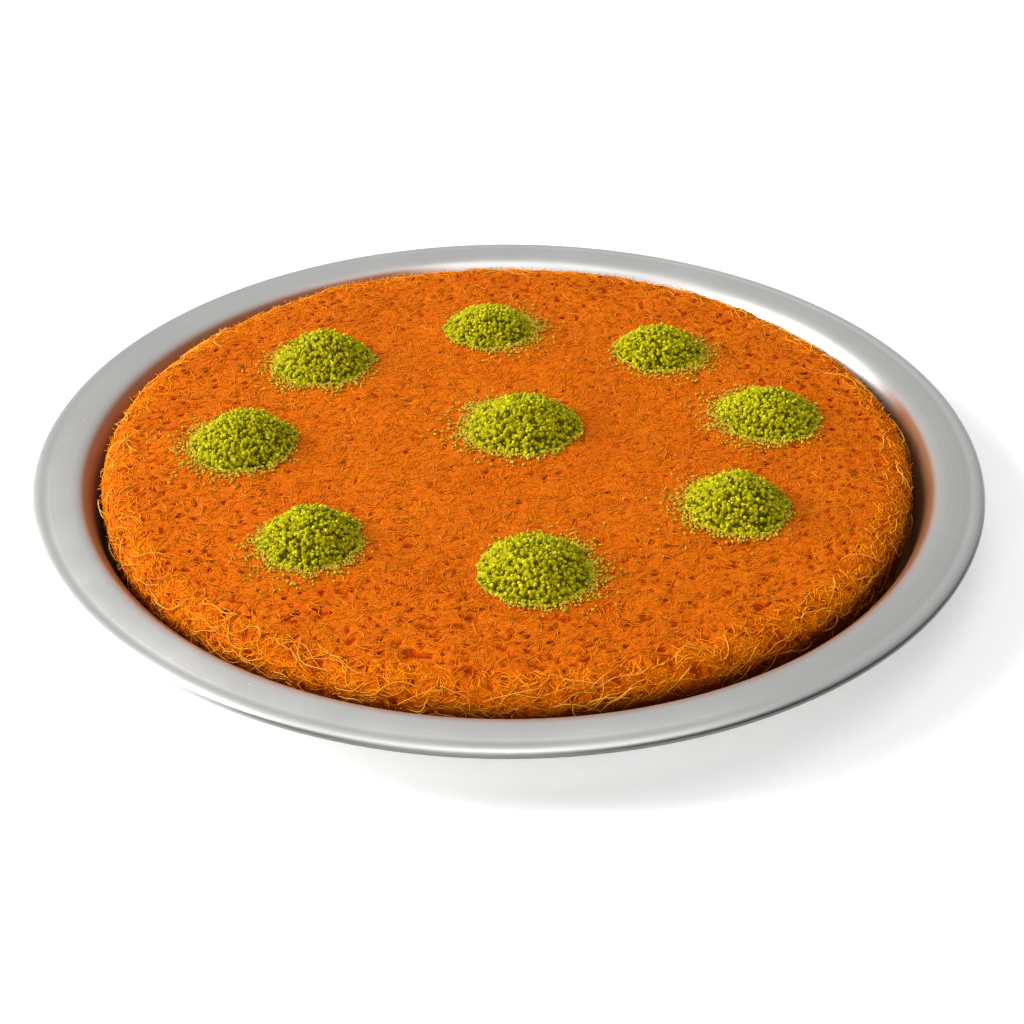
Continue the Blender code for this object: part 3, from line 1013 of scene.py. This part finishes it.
def mound_skin(mound, share, angle):
    """Points on a mound's crumbly skin at shares of its radius, the outward directions, and the relief."""
    # Rounding can put a share just past 1, where the slope has no value
    share = np.minimum(share, 1)
    outer = mound.outline(angle) - DOME_INSET
    reach = share * outer
    x = mound.x + reach * np.cos(angle)
    y = mound.y + reach * np.sin(angle)
    height = mound.height - DOME_SINK
    points = np.stack([x, y, mound.foot_z + dome_rise(share, height)], -1)
    steepness = 2 * DOME_POWER * height * share * (1 - share**2) ** (DOME_POWER - 1) / outer
    outward = unit(np.stack([steepness * np.cos(angle), steepness * np.sin(angle), np.ones(len(x))], -1))
    clumps = rounded_lumps(points, CLUMP_SIZE)
    swell = DOME_LUMP * relief(points, DOME_LUMP_SIZE, 5)
    swell += CLUMP_RELIEF * (clumps - LUMP_LEVEL) / 2
    swell += CRUMB_RELIEF * (rounded_lumps(points, CRUMB_SIZE) - LUMP_LEVEL) / 2
    points = points + (swell * smoothstep(FOOT_BLEND * (1 - share)))[:, None] * outward
    points[:, 2] = np.clip(points[:, 2], mound.foot_z, mound.foot_z + mound.height - DOME_CLEARANCE)
    return points, outward, clumps


def make_mound_core(mound, finish):
    """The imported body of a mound, in relief like crumbs that cling in clumps."""
    x, y, faces, rim = disc_grid(DOME_CELLS)
    points, _, clumps = mound_skin(mound, np.hypot(x, y), np.arctan2(y, x))
    foot = points[rim].copy()
    foot[:, 2] = mound.foot_z
    base = len(points)
    ring = list(range(base, base + len(rim)))
    for k in range(len(rim)):
        after = (k + 1) % len(rim)
        faces.append((rim[k], ring[k], ring[after], rim[after]))
    faces.append(ring[::-1])
    points[rim, 2] += DOME_FOOT
    name = mound.node.replace("pistachio_mound", "ground_mound")
    core = new_piece(name, np.concatenate([points, foot]), faces, finish, [mound.node])
    # The crease depth is kept for the painted shade in the creases
    mark(core, "crease", np.concatenate([(1 - clumps) / 2, np.ones(len(rim))]))


def spread_apart(points, distance):
    """The points, in turn, that are at least a distance from those already kept."""
    kept = np.empty((0, 3))
    for point in points:
        if not len(kept) or np.min(np.sum((kept - point) ** 2, axis=1)) > distance**2:
            kept = np.append(kept, point[None], axis=0)
    return kept


def dome_points(rng, mound, tries, apart, sink):
    """Places of loose grains strewn over a mound's skin, at least a distance apart."""
    share = np.sqrt(rng.uniform(0, 1, tries))
    points, outward, _ = mound_skin(mound, share, rng.uniform(0, 2 * math.pi, tries))
    points = points + (rng.uniform(-1, 0.6, tries) * sink)[:, None] * outward
    return spread_apart(points, apart)


def skirt_points(rng, mound, count):
    """Places of the loose grains that rolled off a mound, fewer farther off and more to one side."""
    angle = mound.drift + rng.normal(0, SKIRT_TURN, count)
    beyond = rng.exponential(SKIRT_REACH, count) * (1 + SKIRT_LEAN * np.cos(angle - mound.drift))
    reach = mound.outline(angle) - SKIRT_INSET + beyond
    x = mound.x + reach * np.cos(angle)
    y = mound.y + reach * np.sin(angle)
    return np.stack([x, y, top_height(x, y)], -1)


def held_down(points, radii):
    """The points, none of them so high that a grain on it would stand over the highest mound."""
    highest = max(mound.foot_z + mound.height for mound in mounds)
    points[:, 2] = np.minimum(points[:, 2], highest - 1.2 * radii)
    return points


def make_mounds():
    """The mounds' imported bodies, and the loose grains on and round them."""
    # Colours of the darkest and the lightest grain
    packed = ground_pistachio("packed_pistachio", "969408", "EAE01A")
    kernel = ground_pistachio("ground_pistachio", "8E8C0A", "F4EA26")
    meal = ground_pistachio("pistachio_meal", "C09C24", "E0C448")
    rng = np.random.default_rng(31)
    coarse = []
    fine = []
    loose = []
    for mound in mounds:
        make_mound_core(mound, packed)
        size = (mound.radius / USUAL_RADIUS) ** 2
        coarse.append(dome_points(rng, mound, tries=int(760 * size), apart=1.25 * MM, sink=0.4 * MM))
        fine.append(dome_points(rng, mound, tries=int(640 * size), apart=0.7 * MM, sink=0.25 * MM))
        loose.append(skirt_points(rng, mound, count=int(860 * size)))
    coarse = np.concatenate(coarse)
    fine = np.concatenate(fine)
    loose = np.concatenate(loose)
    sizes = rng.uniform(0.55, 0.95, len(coarse)) * MM
    make_grains("coarse_grains", rng, held_down(coarse, sizes), sizes, CRUMB, kernel)
    sizes = rng.uniform(0.3, 0.6, len(fine)) * MM
    make_grains("fine_grains", rng, held_down(fine, sizes), sizes, SPLINTER, kernel)
    sizes = rng.uniform(0.4, 0.85, len(loose)) * MM
    loose[:, 2] += 0.1 * MM + 0.5 * sizes
    make_grains("loose_grains", rng, loose, sizes, SPLINTER, meal)


def make_kunafa():
    """The round's matted body, and each kind of strand that lies on it."""
    # Colours of darker patches, the darkest strand, the lightest strand and the foot, dark with syrup and
    # painted shade
    matted = fried_pastry("matted_pastry", "A43C04", "B84A04", "D66C09", "4A0E02", matted=True)
    crisp = fried_pastry("fried_pastry", "B04604", "CE6206", "DC760C", "561204")
    golden = fried_pastry("golden_pastry", "D86806", "FA840E", "FF9E1A", "5E1A04")
    # Painted shade, in part: the side curls are browner and darker than the edge strands, for the side that
    # gets less light
    painted_brown = fried_pastry("shaded_brown_pastry", "8C4204", "B05E0A", "CA7C1C", "5A1604")
    fair = fried_pastry("light_pastry", "D06A10", "E47C14", "F09030", "5E1A04")
    pale = fried_pastry("pale_pastry", "C8741A", "E89A2C", "F8BC50", "7A3A0C")
    make_core(matted)
    edge_end = FLAT_RADIUS + EDGE_ARC
    foot = edge_end + SIDE_DEPTH
    make_strands(
        "pressed_strands",
        crisp,
        seed=11,
        count=9000,
        band=(0, FLAT_RADIUS + 0.6 * EDGE_ARC),
        half_width=0.42 * MM,
        length=9 * MM,
        segments=3,
        bend=0.9,
        roundness=0.0,
        thickness=0.3,
        level=(-0.27 * MM, -0.1 * MM),
        arch=0.0,
        end_dip=0.2 * MM,
    )
    make_strands(
        "short_shreds",
        crisp,
        seed=12,
        count=12200,
        band=(0, FLAT_RADIUS + 0.7 * EDGE_ARC),
        half_width=0.3 * MM,
        length=5.5 * MM,
        segments=2,
        bend=0.9,
        roundness=0.0,
        thickness=0.34,
        level=(-0.18 * MM, -0.02 * MM),
        arch=0.06 * MM,
        end_dip=0.2 * MM,
    )
    make_strands(
        "edge_strands",
        golden,
        seed=13,
        count=3900,
        band=(FLAT_RADIUS, edge_end + 3 * MM),
        half_width=0.28 * MM,
        length=8 * MM,
        segments=4,
        bend=1.4,
        roundness=0.2,
        thickness=0.5,
        level=(-0.32 * MM, 0.02 * MM),
        arch=0.3 * MM,
        end_dip=0.5 * MM,
    )
    make_strands(
        "side_curls",
        painted_brown,
        seed=14,
        count=2700,
        band=(FLAT_RADIUS + 0.8 * EDGE_ARC, foot),
        half_width=0.31 * MM,
        length=11 * MM,
        segments=5,
        bend=3.2,
        roundness=0.3,
        thickness=0.8,
        level=(-0.9 * MM, 0.3 * MM),
        arch=1.2 * MM,
        end_dip=1.0 * MM,
    )
    make_strands(
        "loose_hairs",
        pale,
        seed=15,
        count=380,
        band=(FLAT_RADIUS + 0.1 * EDGE_ARC, foot - 8 * MM),
        half_width=0.25 * MM,
        length=18 * MM,
        segments=9,
        bend=2.4,
        roundness=0.5,
        thickness=1.0,
        level=(-0.1 * MM, 0.5 * MM),
        arch=2.2 * MM,
        end_dip=1.0 * MM,
    )
    make_strands(
        "top_hairs",
        fair,
        seed=17,
        count=900,
        band=(0.4 * FLAT_RADIUS, FLAT_RADIUS),
        half_width=0.22 * MM,
        length=7 * MM,
        segments=5,
        bend=1.5,
        roundness=0.2,
        thickness=0.6,
        level=(-0.1 * MM, 0.05 * MM),
        arch=0.2 * MM,
        end_dip=0.3 * MM,
    )
    make_whiskers(
        "whiskers",
        golden,
        seed=16,
        count=2500,
        band=(FLAT_RADIUS + 0.2 * EDGE_ARC, edge_end + 10 * MM),
        half_width=0.19 * MM,
        length=2.3 * MM,
    )


def make_floor():
    """A plain pale floor, well past the view, with a faint glow of its own that keeps the shadow light."""
    bm = bmesh.new()
    bmesh.ops.create_grid(bm, x_segments=4, y_segments=4, size=5.0)
    mesh = bpy.data.meshes.new("pale_floor")
    bm.to_mesh(mesh)
    bm.free()
    made, tree, shader = new_material("pale_floor", Roughness=0.9, Emission_Strength=0.3)
    shader.inputs["Emission Color"].default_value = linear("FFFFFF")
    place = add_node(tree, "ShaderNodeTexCoord").outputs["Object"]
    grain = add_node(tree, "ShaderNodeTexNoise", None, {"Vector": place, "Scale": 3.0}).outputs["Fac"]
    tone = add_node(
        tree,
        "ShaderNodeMix",
        {"data_type": "RGBA"},
        {MIX_FACTOR: grain, MIX_A: linear("F0F0F0"), MIX_B: linear("F4F4F4")},
    )
    tree.links.new(tone.outputs[MIX_RESULT], shader.inputs["Base Color"])
    mesh.materials.append(made)
    floor = bpy.data.objects.new("pale_floor", mesh)
    floor.location = (0, 0, -0.2 * MM)
    bpy.context.scene.collection.objects.link(floor)


def area_light(name, place, size, power, colour):
    """A soft square light that faces the tray."""
    data = bpy.data.lights.new(name, "AREA")
    data.size = size
    data.energy = power
    data.color = linear(colour)[:3]
    light = bpy.data.objects.new(name, data)
    light.location = place
    aim = Vector((0, 0, RIM_Z)) - Vector(place)
    light.rotation_euler = aim.to_track_quat("-Z", "Y").to_euler()
    bpy.context.scene.collection.objects.link(light)


def make_lights():
    """A broad light low on the left, two weak ones, and a room that is brighter above and behind."""
    area_light("key_from_left", (-1.75, 0.2, 1.05), 1.3, 69, "FFFCF7")
    area_light("soft_overhead", (0.1, -0.2, 2.2), 1.6, 13, "FFFFFF")
    area_light("weak_front_fill", (-0.3, -1.8, 0.9), 1.6, 19, "FFFFFF")
    world = bpy.data.worlds.new("soft_room")
    world.use_nodes = True
    tree = world.node_tree
    background = tree.nodes["Background"]
    background.inputs["Color"].default_value = linear("FFFFFF")
    direction = add_node(tree, "ShaderNodeTexCoord").outputs["Generated"]
    towards = add_node(
        tree, "ShaderNodeVectorMath", {"operation": "DOT_PRODUCT"}, {0: direction, 1: (-0.25, 0.75, 0.6)}
    ).outputs["Value"]
    strength = add_node(
        tree,
        "ShaderNodeMapRange",
        None,
        {"Value": towards, "From Min": 0.2, "From Max": 0.95, "To Min": 0.1, "To Max": 0.6},
    )
    tree.links.new(strength.outputs["Result"], background.inputs["Strength"])
    bpy.context.scene.world = world


def make_camera():
    """The camera, at the photograph's viewing angle."""
    data = bpy.data.cameras.new("view")
    data.lens = VIEW_LENS
    data.sensor_width = 36
    data.shift_x, data.shift_y = VIEW_SHIFT
    data.clip_end = 20
    camera = bpy.data.objects.new("view", data)
    camera.location = (
        0,
        -VIEW_DISTANCE * math.cos(VIEW_ELEVATION),
        RIM_Z + VIEW_DISTANCE * math.sin(VIEW_ELEVATION),
    )
    camera.rotation_euler = (math.pi / 2 - VIEW_ELEVATION, 0, 0)
    bpy.context.scene.collection.objects.link(camera)
    bpy.context.scene.camera = camera


def main():
    make_camera()
    make_lights()
    make_floor()
    make_tray(spun_aluminium())
    make_kunafa()
    make_mounds()
    bpy.context.scene.view_settings.view_transform = "Standard"


main()
